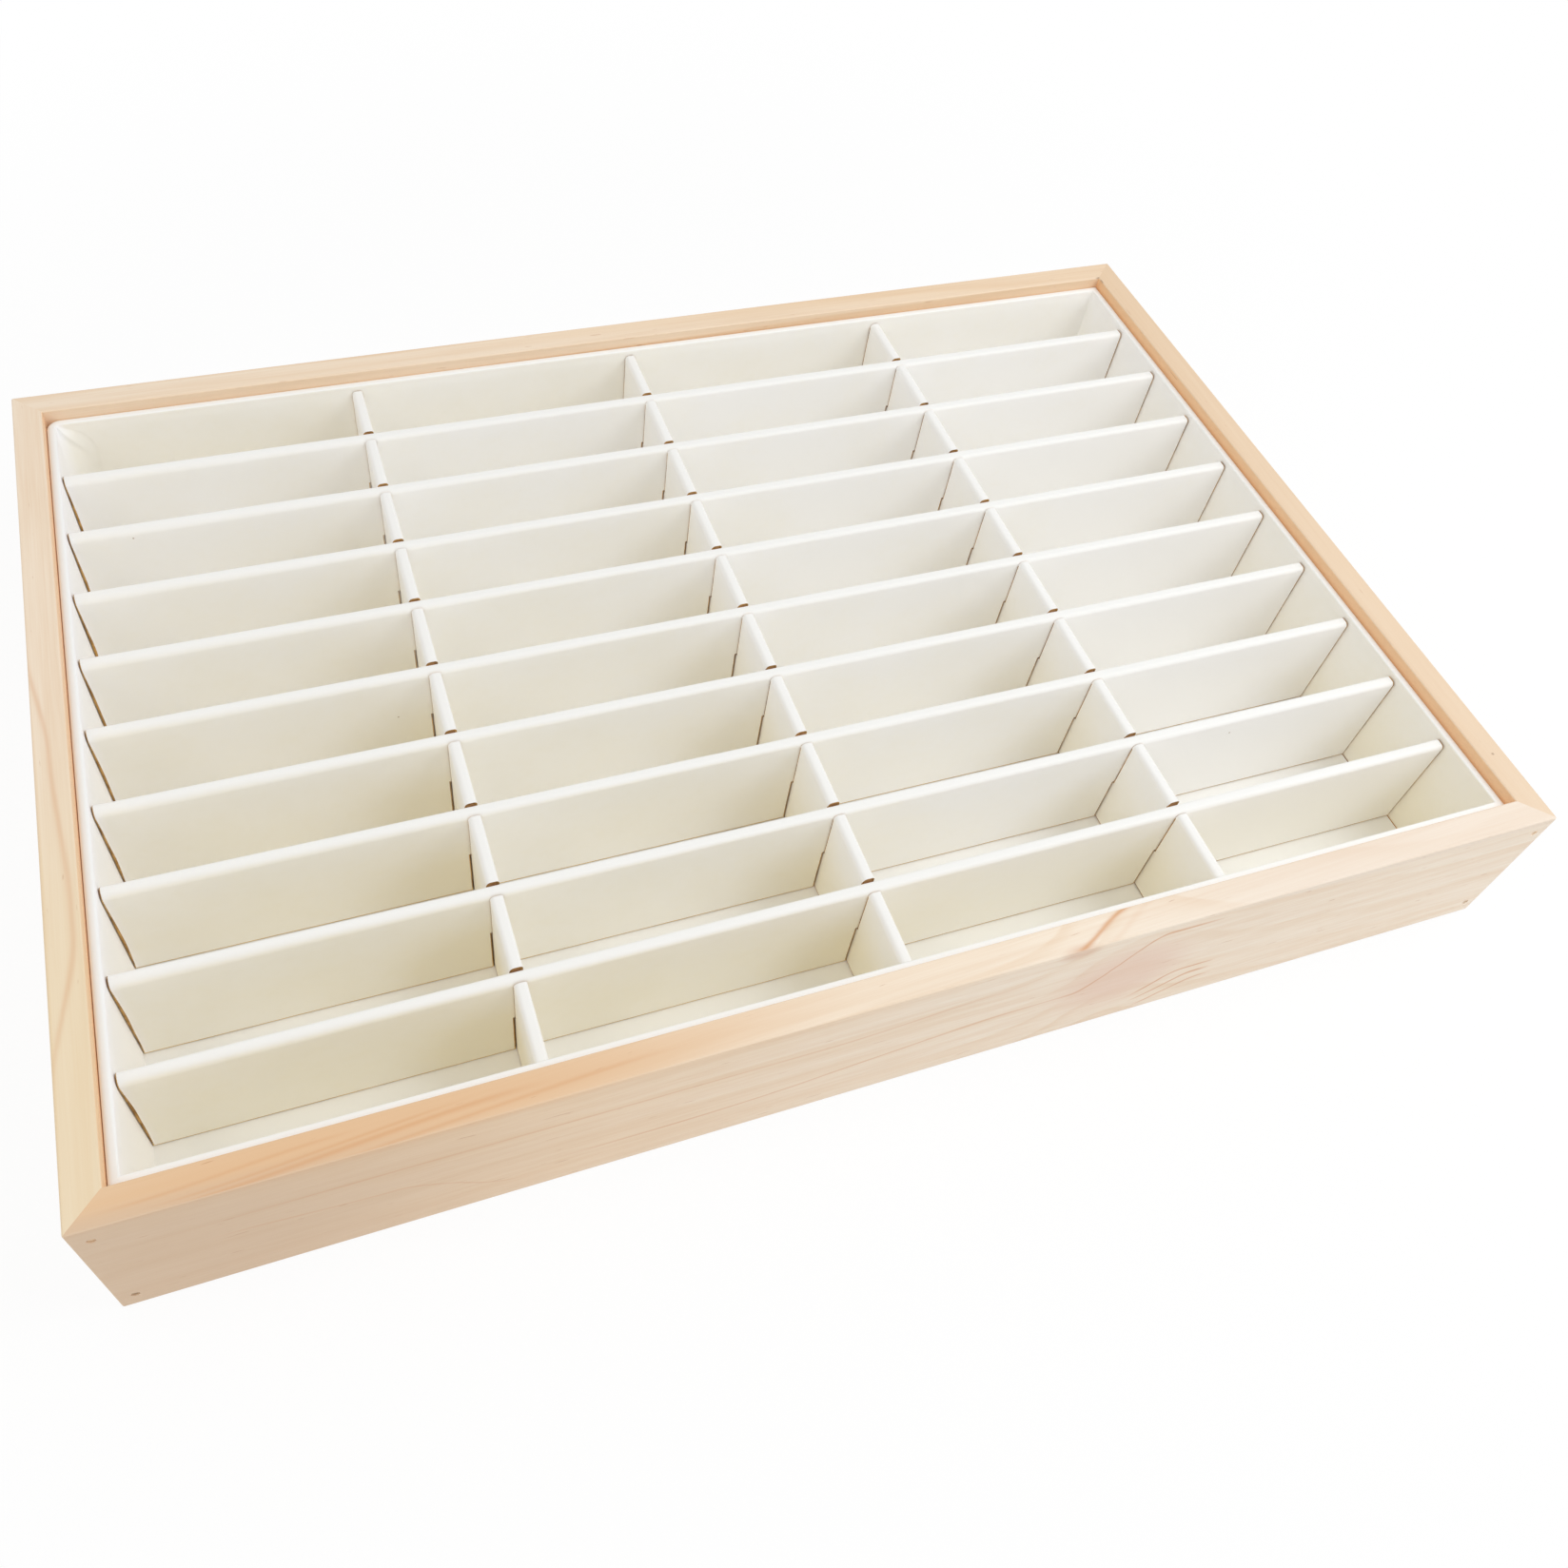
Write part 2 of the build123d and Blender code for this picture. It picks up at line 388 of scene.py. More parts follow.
def front_pine():
    wood = Pine("pine_front", X_AXIS, across=(0, 0.62, 0.78), offset=(31, 7, 3),
                drift=(0, 0.04, 0))
    pink_patch = Stain((56, -120, 24), (24, 20, 20), 0.6, PINE_PINK)
    resin_by_streak = Stain((38, -120, 43.6), (7, 2.5, 3.6), 0.4, PINE_RESIN)
    pale_top = Stain((135, -116, 46), (110, 30, 4), 0.5, PINE_PALE)
    honey_top = Stain((-115, -116, 46), (110, 9, 5), 0.8, PINE_HONEY)
    # Painted shade: the front face is greyer and darker towards its left end
    painted_shade_left_end = Stain((-185, -120, 20), (120, 5, 60), 0.5, PINE_SHADE_GREY)
    return wood.board(
        ring=9, tone=Tone(-170, 50, 0.8, 0), contrast=0.35, inward=Y_AXIS, inner_shade_share=0.3,
        swells=[Swell(56, 17, 11), Swell(84, 40, 7)],
        stains=[pink_patch, resin_by_streak, pale_top, honey_top, painted_shade_left_end],
        strokes=front_face_strokes() + front_top_strokes())


def back_pine():
    wood = Pine("pine_back", X_AXIS, across=(0, -0.5, 0.87), offset=(420, 60, 11))
    corner_knot = Stain((168, 112.7, 45), (2.2, 0.4, 1), 0.7, PINE_KNOT)
    return wood.board(
        ring=8, tone=Tone(-170, 170, 0.30, 0.6), contrast=0.6, inward=FRONTWARDS,
        inner_shade_share=0.1, stains=[corner_knot])


def left_pine():
    wood = Pine("pine_left", Y_AXIS, across=(1, 0, 0.35), offset=(80, 240, 19))
    straw_front = Stain((-171.4, -120, 46), (60, 140, 8), 0.5, PINE_STRAW)
    swinging = Stroke(X_AXIS, [Rise(5.8, -94, -56), Rise(-2, -50, -5), Rise(-4, -8, 28)],
                      base=-175.2, start=-106, end=46, width=0.6, share=0.32)
    return wood.board(
        ring=6, tone=Tone(-120, 120, 0.20, 0.30), contrast=0.45, inward=X_AXIS,
        inner_shade_share=0.5, stains=[straw_front], strokes=[swinging])


def right_pine():
    wood = Pine("pine_right", Y_AXIS, across=(-0.9, 0, 0.44), offset=(150, 510, 27))
    dry_top = Stain((171.4, 0, 46), (60, 400, 4), 0.45, PINE_DRY)
    pin_knot = Stain((171.4, -98.3, 45), (0.55, 0.55, 0.55), 0.5, PINE_KNOT)
    corner_knot = Stain((167.6, 110.6, 45), (0.4, 1.6, 1), 0.7, PINE_KNOT)
    return wood.board(
        ring=7, tone=Tone(-120, 120, 0.55, 0.95), contrast=0.6, inward=LEFTWARDS,
        inner_shade_share=0.65, stains=[dry_top, pin_knot, corner_knot])


# Leatherette

IVORY = srgb(253, 252, 250)
# The cooler white of the painted light on the left wall
IVORY_PAINTED_LIGHT = srgb(254, 253, 255)
# The warmer ivory, used for painted shade and bounce light, and for clouds of tone
IVORY_WARM = srgb(247, 242, 226)
# The plainer white of painted light on what faces up, and the painted highlight on the liner's rim
IVORY_PAINTED_LIT_TOP = srgb(245, 244, 241)
IVORY_PAINTED_HIGHLIGHT = srgb(248, 248, 246)
DUST = srgb(150, 118, 78)
CUT_LIGHT = srgb(200, 154, 84)
CUT_DARK = srgb(140, 100, 48)
# The golden colour of the painted shade line at the dividers' feet
CUT_FOOT_SHADE = srgb(232, 198, 120)

# Half sizes of the lined inside, and where the left wall's cooler white, which is painted light, begins and
# ends to fade
INSIDE_X = 165
INSIDE_Y = 110
LEFT_WALL_FACE = -165.5
LEFT_WALL_CLEAR = -162
# Heights between the tops of the dividers and the rim of the liner
ABOVE_DIVIDERS = 40.7
BELOW_RIM = 41.5
# Whole columns added to the count of columns, to keep it above nothing
SPARE_COLUMNS = 10
# Turns of the backing's weave for each millimetre, in radians
WEAVE = 9


def leatherette_warmth(tree, axes, warm_left, warm_right):
    """The share of the warmer ivory, which is painted shade and bounce light, with clouds of tone. It is
    highest towards the front, and low down at the right-hand end of each compartment, where a corner's
    shade is painted. Large and small clouds run over it."""
    cloud = tree.noise(tree.place, scale=0.035, detail=3, roughness=0.55)
    fine_cloud = tree.noise(tree.place, scale=0.4, detail=2)
    warmth = tree.between(axes[0], -INSIDE_X, INSIDE_X, warm_left, warm_right)
    bay = tree.math("FRACT", tree.add(tree.over(axes[0], COLUMN_PITCH), SPARE_COLUMNS))
    # Painted shade in the corner, low down at the right-hand end of each compartment
    corner_shade = tree.times(tree.between(bay, 0.6, 0.98), tree.between(axes[2], 14, 38, 1, 0))
    corner_shade = tree.times(corner_shade, tree.between(axes[0], -INSIDE_X, INSIDE_X, 0.7, 0.2))
    warmth = tree.add(warmth, corner_shade)
    warmth = tree.times(warmth, tree.between(axes[1], -INSIDE_Y, INSIDE_Y, 1.7, 0.3))
    warmth = tree.add(warmth, tree.between(cloud, 0.3, 0.7, -0.12, 0.12))
    return tree.add(warmth, tree.between(fine_cloud, 0.4, 0.8, 0, 0.08))


def leatherette(name, warm_left, warm_right):
    """Ivory leatherette with a fine pebble grain, faint clouds and a few dust specks. warm_left and
    warm_right are the shares of the warmer ivory, mostly painted shade, at the tray's left and right
    ends, half-way back. The left wall is painted light, a cooler white. What faces up is painted lit, a
    plainer white, and the liner's rim is a painted highlight."""
    tree = Material(name)
    axes = tree.split(tree.place)
    tree.colour = tree.mix(leatherette_warmth(tree, axes, warm_left, warm_right), IVORY, IVORY_WARM)
    # Painted light: the left wall is a cooler white
    tree.tint(tree.between(axes[0], LEFT_WALL_FACE, LEFT_WALL_CLEAR, 1, 0), IVORY_PAINTED_LIGHT)
    # Painted light: what faces up is a plainer white, and the liner's rim a painted highlight
    top = tree.mix(tree.between(axes[2], ABOVE_DIVIDERS, BELOW_RIM), IVORY_PAINTED_LIT_TOP, IVORY_PAINTED_HIGHLIGHT)
    tree.tint(tree.between(tree.split(tree.normal)[2], 0.3, 0.95), top)
    speck = tree.between(tree.cells(scale=0.045), 0.008, 0.014, 0.7, 0)
    tree.tint(speck, DUST)
    pebbles = tree.cells(scale=2.6)
    creases = tree.cells(scale=1.1, feature="DISTANCE_TO_EDGE")
    pores = tree.noise(tree.place, scale=5, detail=2)
    relief = tree.add(tree.times(pebbles, -0.6), tree.times(pores, 0.4))
    relief = tree.add(relief, tree.between(creases, 0, 0.12, -0.35, 0))
    roughness = tree.between(pores, 0.25, 0.75, 0.42, 0.56)
    return tree.finish(roughness, relief, distance=0.012, strength=0.6, Specular_IOR_Level=0.4)


def leatherette_backing(name):
    """The woven back and the cut edges of the leatherette, brown with dried glue. Edges at the feet of the
    long dividers are paler, the golden colour of the painted shade line in the crease, and less so
    towards the right."""
    tree = Material(name)
    axes = tree.split(tree.place)
    weave = tree.times(tree.math("SINE", tree.times(axes[0], WEAVE)),
                       tree.math("SINE", tree.times(axes[1], WEAVE)))
    glue = tree.noise(tree.place, scale=0.25, detail=3)
    tree.colour = tree.mix(tree.between(glue, 0.35, 0.7), CUT_LIGHT, CUT_DARK)
    tree.tint(tree.between(weave, -1, 1, 0, 0.15), CUT_DARK)
    facing = tree.split(tree.vector("ABSOLUTE", tree.normal))
    # Painted shade: a golden line at the feet of the long dividers
    foot = tree.times(tree.between(axes[2], 8.8, 10.5, 0.85, 0), facing[1])
    foot = tree.times(foot, tree.between(axes[0], -60, 160, 1, 0.55))
    tree.tint(foot, CUT_FOOT_SHADE)
    roughness = tree.between(glue, 0.3, 0.7, 0.75, 0.9)
    return tree.finish(roughness, weave, distance=0.03, strength=0.5)


# Boards and steel

CORE_LIGHT = srgb(192, 148, 102)
CORE_DARK = srgb(164, 118, 74)
GREY_LIGHT = srgb(176, 168, 154)
GREY_DARK = srgb(160, 151, 136)
PANEL_LIGHT = srgb(222, 190, 146)
PANEL_DARK = srgb(198, 160, 112)
PANEL_THREAD = srgb(176, 134, 88)
PANEL_PORE = srgb(120, 84, 52)
STEEL_LIGHT = srgb(186, 164, 138)
STEEL_DARK = srgb(150, 132, 112)
FILLER = srgb(238, 214, 184)


def fibreboard(name, light, dark, fibre_scale, coarse_scale):
    """Pressed fibres: clouded tone, short darker fibres and a felted surface."""
    tree = Material(name)
    fibres = tree.noise(tree.place, fibre_scale, detail=4, roughness=0.7, distortion=0.6)
    clumps = tree.noise(tree.place, coarse_scale, detail=3)
    drawn_out = tree.vector("MULTIPLY", tree.place, (1, 0.35, 1))
    dashes = tree.between(tree.noise(drawn_out, fibre_scale * 1.7, detail=2), 0.58, 0.72)
    tree.colour = tree.mix(tree.between(clumps, 0.3, 0.7), light, dark)
    tree.tint(tree.times(dashes, 0.5), dark)
    tree.tint(tree.between(fibres, 0.35, 0.75, 0, 0.35), light)
    roughness = tree.between(fibres, 0.3, 0.7, 0.72, 0.9)
    return tree.finish(roughness, fibres, distance=0.05, strength=0.7, Specular_IOR_Level=0.3)


def panel(name):
    """The base panel: thin veneered board, its grain along the tray."""
    tree = Material(name)

    def along_x(share):
        return tree.vector("MULTIPLY", tree.place, (share, 1, 1))

    grain = tree.noise(along_x(0.03), scale=0.5, detail=4, roughness=0.6, distortion=0.4)
    threads = tree.noise(along_x(0.04), scale=2.6, detail=3, roughness=0.7)
    pores = tree.between(tree.noise(along_x(0.12), scale=2, detail=1), 0.68, 0.76)
    tree.colour = tree.mix(tree.between(grain, 0.3, 0.7), PANEL_LIGHT, PANEL_DARK)
    tree.tint(tree.between(threads, 0.3, 0.75, 0, 0.3), PANEL_THREAD)
    tree.tint(tree.times(pores, 0.5), PANEL_PORE)
    roughness = tree.between(threads, 0.3, 0.7, 0.55, 0.72)
    return tree.finish(roughness, threads, distance=0.04, strength=0.6, Specular_IOR_Level=0.3)


def steel(name):
    """Dull wire-drawn steel. The upper brads have more wood filler rubbed over them than the lower ones."""
    tree = Material(name)
    spots = tree.noise(tree.place, scale=1.6, detail=4, roughness=0.6)
    drawn_out = tree.vector("MULTIPLY", tree.place, (1, 0.1, 1))
    scratches = tree.noise(drawn_out, scale=6, detail=2)
    tree.colour = tree.mix(tree.between(spots, 0.35, 0.75), STEEL_LIGHT, STEEL_DARK)
    filled = tree.between(tree.split(tree.place)[2], 15, 30, 0.2, 1)
    tree.tint(filled, FILLER)
    metallic = tree.between(spots, 0.5, 0.75, 0, 0.3)
    roughness = tree.between(spots, 0.35, 0.7, 0.7, 0.5)
    return tree.finish(roughness, scratches, distance=0.01, strength=0.5, Metallic=metallic)


def paint(node, material):
    """Gives a node of the frame one material."""
    materials = frame["nodes"][node].data.materials
    materials.clear()
    materials.append(material)


def paint_nodes():
    """Each rail is cut from its own board, so each has its own grain."""
    paint("front_rail", front_pine())
    paint("back_rail", back_pine())
    paint("left_rail", left_pine())
    paint("right_rail", right_pine())
    paint("base_panel", panel("base_panel_board"))
    paint("corner_brads", steel("brad_steel"))
    raw_core = fibreboard("fibreboard", CORE_LIGHT, CORE_DARK, fibre_scale=3, coarse_scale=0.6)
    grey_board = fibreboard("grey_board", GREY_LIGHT, GREY_DARK, fibre_scale=2.2, coarse_scale=0.5)
    for side in ("front", "back", "left", "right", "floor"):
        paint("liner_%s_board" % side, grey_board)
    for node in frame["nodes"]:
        if node.endswith("_core"):
            paint(node, raw_core)


# Skins: thin closed meshes between an outer and an inner grid of points

# Thickness of the leatherette, a hair under the solid's
SKIN = 0.48
# Spacing of the points along and across a skin, and the steps in a quarter turn
STATION_STEP = 4.0
PROFILE_STEP = 4.0
FOLD_STEPS = 5
# Places of the two materials of a skin
SHOWN_SIDE = 0
BACK_SIDE = 1
SHARP_DEGREES = 48
# What keeps a rounding error from adding a step
STEP_SLACK = 1e-6


def cell_corners(cell, rows):
    """The grid places round a cell. The cell after the last row of a closed skin joins it to the first."""
    i, j = cell
    following = (i + 1) % rows
    return [(i, j), (following, j), (following, j + 1), (i, j + 1)]


def shell_faces(rings, kinds_shown, count):
    """Faces over the outer and the inner grid, and over every rim between them, with their materials.
    rings are the outer faces' points, and the inner grid's points follow the outer ones by count."""
    faces = []
    kinds = []
    directed = set()
    for ring, kind in zip(rings, kinds_shown):
        faces += [ring, [number + count for number in reversed(ring)]]
        kinds += [kind, BACK_SIDE]
        directed.update(zip(ring, ring[1:] + ring[:1]))
    for first, second in sorted(directed):
        if (second, first) not in directed:
            faces.append([second, first, first + count, second + count])
            kinds.append(BACK_SIDE)
    return faces, kinds


def shell(name, outer, inner, materials, closed=False, keep=None, cut=None):
    """A thin skin between two grids of points. It holds the cells that keep() names, or all. Those on the
    outer grid take the first material, and the inner grid, the rims and cut() cells take the second."""
    rows, columns = len(outer), len(outer[0])
    last = rows if closed else rows - 1
    cells = [(i, j) for i in range(last) for j in range(columns - 1) if keep is None or keep(i, j)]
    used = sorted({corner for cell in cells for corner in cell_corners(cell, rows)})
    points = [outer[i][j] for i, j in used] + [inner[i][j] for i, j in used]
    index = {corner: number for number, corner in enumerate(used)}
    rings = [[index[corner] for corner in cell_corners(cell, rows)] for cell in cells]
    kinds_shown = [BACK_SIDE if cut and cut(*cell) else SHOWN_SIDE for cell in cells]
    faces, kinds = shell_faces(rings, kinds_shown, len(used))
    mesh = bpy.data.meshes.new(name)
    mesh.from_pydata([[value * MM for value in point] for point in points], [], faces)
    for material in materials:
        mesh.materials.append(material)
    mesh.polygons.foreach_set("material_index", kinds)
    mesh.shade_smooth()
    mesh.update()
    mesh.set_sharp_from_angle(angle=math.radians(SHARP_DEGREES))
    return add_object(name, mesh)


def face_outwards(made, outwards):
    """Turns every face of a skin over if its first one doesn't look this way."""
    if made.data.polygons[0].normal.dot(outwards) < 0:
        made.data.flip_normals()


def spread(low, high, step):
    """Even places from low to high, no further apart than a step."""
    count = max(1, math.ceil((high - low) / step - STEP_SLACK))
    return [low + (high - low) * number / count for number in range(count + 1)]


def stations_with(low, high, step, marks):
    """Even places from low to high that also stand at every mark."""
    stops = sorted({low, high, *marks})
    places = [low]
    for first, second in zip(stops, stops[1:]):
        places += spread(first, second, step)[1:]
    return places


def clamp(share):
    return min(1.0, max(0.0, share))


def ease(share):
    """Goes smoothly from 0 to 1 as the share does, and holds there."""
    share = clamp(share)
    return share * share * (3 - 2 * share)


def ripple_at(u, v, seed):
    return noise.noise(Vector((u, v, seed)))


def quarter_turn(edge, top, radius, sign):
    """Points up over a rounded edge: (sideways, height, normal sideways, normal height). sign is the way
    that the side below it looks, 1 or -1."""
    points = []
    for number in range(FOLD_STEPS + 1):
        angle = math.pi / 2 * number / FOLD_STEPS
        across, up = math.cos(angle), math.sin(angle)
        points.append((sign * (edge - radius * (1 - across)), top - radius * (1 - up), sign * across, up))
    return points


# The dividers' skins

# Radii of the folds over the top edges, and the length in which the slack one grows firm
CRISP_FOLD = 0.7
SOFT_FOLD = 1.2
SLACK_FOLD = 2.15
FIRM_FOLD = 1.0
SLACK_LENGTH = 150.0
# Gaps under the foot and at the ends, and the width of the raw strip at a cut edge
FOOT_GAP = 0.14
END_GAP = 0.02
CUT_EDGE = 0.22
# Steps over the upper part of each side, as a share of it
UPPER_STEP = 0.2
# How far the cells at the left or front end and at the other end reach in
FIRST_CELL = 0.8
LAST_CELL = 0.6
# The skin lies flat at a slot, and waves fully from this far on
CALM_REACH = 6.0
# Its long and short waves, each by its height and its lengths along and up, and how far in it lies
LONG_WAVE = (0.05, 21.0, 16.0)
SHORT_WAVE = (0.03, 6.0, 7.0)
WAVE_INSET = 0.02
# How unevenly the foot and the ends are cut
CUT_WAVER = 0.06
# The raw strip beside an end, which also paints the shade in the gap at the wall: its least width, and what
# its widest place adds at each end
RAW_AND_SHADE_STRIP = 0.18
FIRST_BELLY = 0.5
LAST_BELLY = 0.15


class DividerSkin:
    """The leatherette folded over a divider's core. u runs along the divider and v across it. Its slots
    are pairs of places along it, and leave out the cells above or below the lap."""

    def __init__(self, node, along_x, slots, slots_above, seed):
        self.along_x = along_x
        self.slots = slots
        self.slots_above = slots_above
        self.seed = seed
        low, high = box_mm(node)
        along, across = (0, 1) if along_x else (1, 0)
        self.left = low[along]
        self.middle = (low[across] + high[across]) / 2
        self.half = (high[across] - low[across]) / 2
        self.top = high.z
        self.foot = low.z + FOOT_GAP
        self.lap = (high.z + low.z) / 2 + (-HALF_LAP_SLACK / 2 if slots_above else HALF_LAP_SLACK / 2)
        self.heights = stations_with(self.foot, self.lap, PROFILE_STEP, [self.foot + CUT_EDGE])
        self.upper = spread(0.0, 1.0, UPPER_STEP)[1:]
        self.marks = [mark for slot in slots for mark in slot]
        self.stations = self.places_along(low[along] + END_GAP, high[along] - END_GAP)
        self.profiles = [self.profile(u) for u in self.stations]
        self.width = len(self.profiles[0])

    def places_along(self, first, last):
        """Stations that stand at both ends of every slot and of the raw strips beside them."""
        cuts = []
        for before, after in self.slots:
            cuts += [before - CUT_EDGE, after + CUT_EDGE]
        ends = [first + FIRST_CELL, last - LAST_CELL]
        return stations_with(first, last, STATION_STEP, self.marks + cuts + ends)

    def near_fold(self, u):
        """The radius of the fold towards the front or the left. Long dividers have theirs slackest at
        the left end."""
        if not self.along_x:
            return SOFT_FOLD
        return SLACK_FOLD + (FIRM_FOLD - SLACK_FOLD) * ease((u - self.left) / SLACK_LENGTH)

    def profile(self, u):
        """The points over the strip at one station: (sideways, height, normal sideways, normal height)."""
        return self.side(-1.0, self.near_fold(u)) + self.side(1.0, CRISP_FOLD)[::-1]

    def side(self, sign, fold):
        """One side of the strip, from the foot up and over its fold."""
        above_lap = [self.lap + (self.top - fold - self.lap) * share for share in self.upper]
        points = [(sign * self.half, z, sign, 0.0) for z in self.heights + above_lap]
        return points + quarter_turn(self.half, self.top, fold, sign)[1:]

    def calm(self, u):
        """Falls to nothing at the slots, where the skin is cut flush."""
        return min([1.0] + [abs(u - mark) / CALM_REACH for mark in self.marks])

    def trimmed(self, i, z, v):
        """The place along the divider. Its ends are trimmed by hand, and the raw strip beside each, which
        also paints the shade in the gap at the wall, is widest half-way down at the left or front end, and
        at the top at the other."""
        u = self.stations[i]
        if i in (0, len(self.stations) - 1):
            return u - math.copysign(CUT_WAVER * (0.5 + ripple_at(z / 5, v, self.seed + 3)), u)
        if i in (1, len(self.stations) - 2):
            down = clamp((self.top - z) / (self.top - self.foot))
            belly = FIRST_BELLY * math.sin(math.pi * down) if u < 0 else LAST_BELLY * (1 - down)
            strip = RAW_AND_SHADE_STRIP + belly * (0.8 + 0.4 * ripple_at(z / 9, v, self.seed + 7))
            return math.copysign(abs(self.stations[0 if u < 0 else -1]) - strip, u)
        return u

    def point(self, i, j, depth):
        u = self.stations[i]
        v, z, nv, nz = self.profiles[i][j]
        waves = ((LONG_WAVE, self.seed), (SHORT_WAVE, self.seed + 9))
        wave = sum(height * ripple_at(u / along, z / up + v, seed) for (height, along, up), seed in waves)
        out = self.calm(u) * (wave - WAVE_INSET) - depth
        u = self.trimmed(i, z, v)
        if j in (0, self.width - 1):
            z += CUT_WAVER * ripple_at(u / 9, v, self.seed + 5)
        v, z = v + nv * out, z + nz * out
        return (u, self.middle + v, z) if self.along_x else (self.middle + v, u, z)

    def grid(self, depth):
        return [[self.point(i, j, depth) for j in range(self.width)] for i in range(len(self.stations))]

    def beside_slots(self, j):
        """True on the side of the lap where the slots are open."""
        lap_row = len(self.heights) - 1
        below_lap = j < lap_row or j >= self.width - 1 - lap_row
        return below_lap != self.slots_above

    def centre(self, i):
        return (self.stations[i] + self.stations[i + 1]) / 2

    def keep(self, i, j):
        in_slot = any(before < self.centre(i) < after for before, after in self.slots)
        return not (in_slot and self.beside_slots(j))

    def cut(self, i, j):
        """True on the raw strip that shows at the foot, the ends and the sides of the slots. At the foot
        and the ends the strip also paints the shade in the crease and in the gap at the wall.
        """
        side_rows = len(self.heights) + len(self.upper)
        on_side = j < side_rows - 1 or j >= self.width - side_rows
        at_end = i in (0, len(self.stations) - 2) and (self.along_x or on_side)
        at_foot = j in (0, self.width - 2)
        near_mark = any(abs(self.centre(i) - mark) < CUT_EDGE for mark in self.marks)
        return at_end or at_foot or (near_mark and on_side and self.beside_slots(j))


def make_divider_skin(node, body, skin, materials):
    made = shell(node + "_skin", skin.grid(0.0), skin.grid(SKIN), materials, keep=skin.keep, cut=skin.cut)
    face_outwards(made, FRONTWARDS if skin.along_x else LEFTWARDS)
    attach(made, body)
    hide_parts(node)


def cross_boxes():
    return [box_mm("cross_divider_%d_wrap" % number) for number in CROSS_NUMBERS]


def make_divider_skins():
    """Each skin's seed gives it ripples of its own."""
    running = [box_mm("long_divider_%d_wrap" % number) for number in LONG_NUMBERS]
    long_slots = [(low.x - SLOT_GAP_SIDE, high.x + SLOT_GAP_SIDE) for low, high in cross_boxes()]
    cross_slots = [(low.y - SLOT_GAP_FRONT, high.y + SLOT_GAP_BACK) for low, high in running]
    for number in LONG_NUMBERS:
        node = "long_divider_%d_wrap" % number
        skin = DividerSkin(node, True, long_slots, slots_above=False, seed=number * 11.3)
        make_divider_skin(node, "long_divider_%d" % number, skin, (ivory, backing))
    for number in CROSS_NUMBERS:
        node = "cross_divider_%d_wrap" % number
        skin = DividerSkin(node, False, cross_slots, slots_above=True, seed=number * 17.9 + 200)
        make_divider_skin(node, "cross_dividers", skin, (cross_ivory, backing))


# The liner's wall skin

# Sides of the liner's outline, and its soft corner's arc
FRONT, RIGHT, BACK, LEFT, ARC = range(5)
# Radii of the rim's two edges
RIM_RADIUS = 0.9
CRISP_RIM = 0.5
# The share of the left wall, from the front, in which its rim grows soft
RIM_SOFTENS = 0.1
# Spacing of the points beside the soft corner and below the rim, and how far each reaches
FINE_STEP = 0.5
FINE_LENGTH = 14.0
ARC_STEPS = 36
RIM_STEP = 0.8
RIM_DEPTH = 10.0
LOWER_STEP = 2.5
# The tuck that runs down from the soft corner
PUCKER_FADE = 5.0
TUCK_PLACE = 0.62
TUCK_LEAN = 0.045
TUCK_EDGE = 0.04
TUCK_REACH = 0.3
TUCK_FOLD = 0.7
TUCK_HOLLOW = 1.1
TUCK_START = 0.6
# The length of wall that counts as much as the whole turn of the corner
CORNER_RUN = 16.0
# How much rounder the corner is inside, and how soon it is so below the rim and above the foot
CORNER_COVE = 7.0
COVE_DEPTH = 2.6
COVE_RISE = 24.0
# How far the leatherette stands off its boards, and how far the back wall's bulges add to that
WALL_SLACK = 0.24
WALL_SWELL = 0.28
# How far from the rim, and from the turned-down edge outside, it is fully off them
RIM_EASE = 2.0
EDGE_EASE = 6.0
# Length and height of a bulge, and how far it is full from a cross divider, the rim and the foot
BULGE_LENGTH = 34.0
BULGE_HEIGHT = 14.0
CROSS_CALM = 9.0
RIM_CALM = 5.0
FOOT_CALM = 8.0


def ring_path(half_x, half_y, radius, offset):
    """A function from (side, share) to a point on the liner's outline, moved in by an offset."""
    x, y = half_x - offset, half_y - offset
    arc_start = (-half_x + radius, y)
    arc_end = (-x, half_y - radius)
    legs = {
        FRONT: ((-x, -y), (x, -y)),
        RIGHT: ((x, -y), (x, y)),
        BACK: ((x, y), arc_start),
        LEFT: (arc_end, (-x, -y)),
    }

    def at(side, share):
        if side == ARC:
            angle = math.pi / 2 * (1 + share)
            reach = max(radius - offset, 0.0)
            return (-half_x + radius + reach * math.cos(angle), half_y - radius + reach * math.sin(angle))
        (x0, y0), (x1, y1) = legs[side]
        return (x0 + (x1 - x0) * share, y0 + (y1 - y0) * share)

    return at


def wall_profile(top, low, fold):
    """Across the liner's wall, from the turned-down edge outside, over the rim, to the foot inside.
    fold is the radius of the rim's inner edge. The last two numbers of a point are its normal."""
    outside = spread(top - TURN_DOWN, top - RIM_RADIUS, PROFILE_STEP)
    profile = [(0.0, z, -1.0, 0.0) for z in outside]
    profile += quarter_turn(0.0, top, RIM_RADIUS, -1.0)[1:]
    profile += reversed(quarter_turn(LINER_WALL, top, fold, 1.0))
    creased = top - fold - RIM_DEPTH
    inside = spread(low, creased, LOWER_STEP)[:-1] + spread(creased, top - fold, RIM_STEP)
    return profile + [(LINER_WALL, z, 1.0, 0.0) for z in reversed(inside[:-1])]


def rim_fold(side, share):
    """The radius of the rim's inner edge, which is soft along the left wall and crisp elsewhere."""
    softness = {LEFT: ease((1 - share) / RIM_SOFTENS), ARC: share}.get(side, 0.0)
    return CRISP_RIM + (RIM_RADIUS - CRISP_RIM) * softness


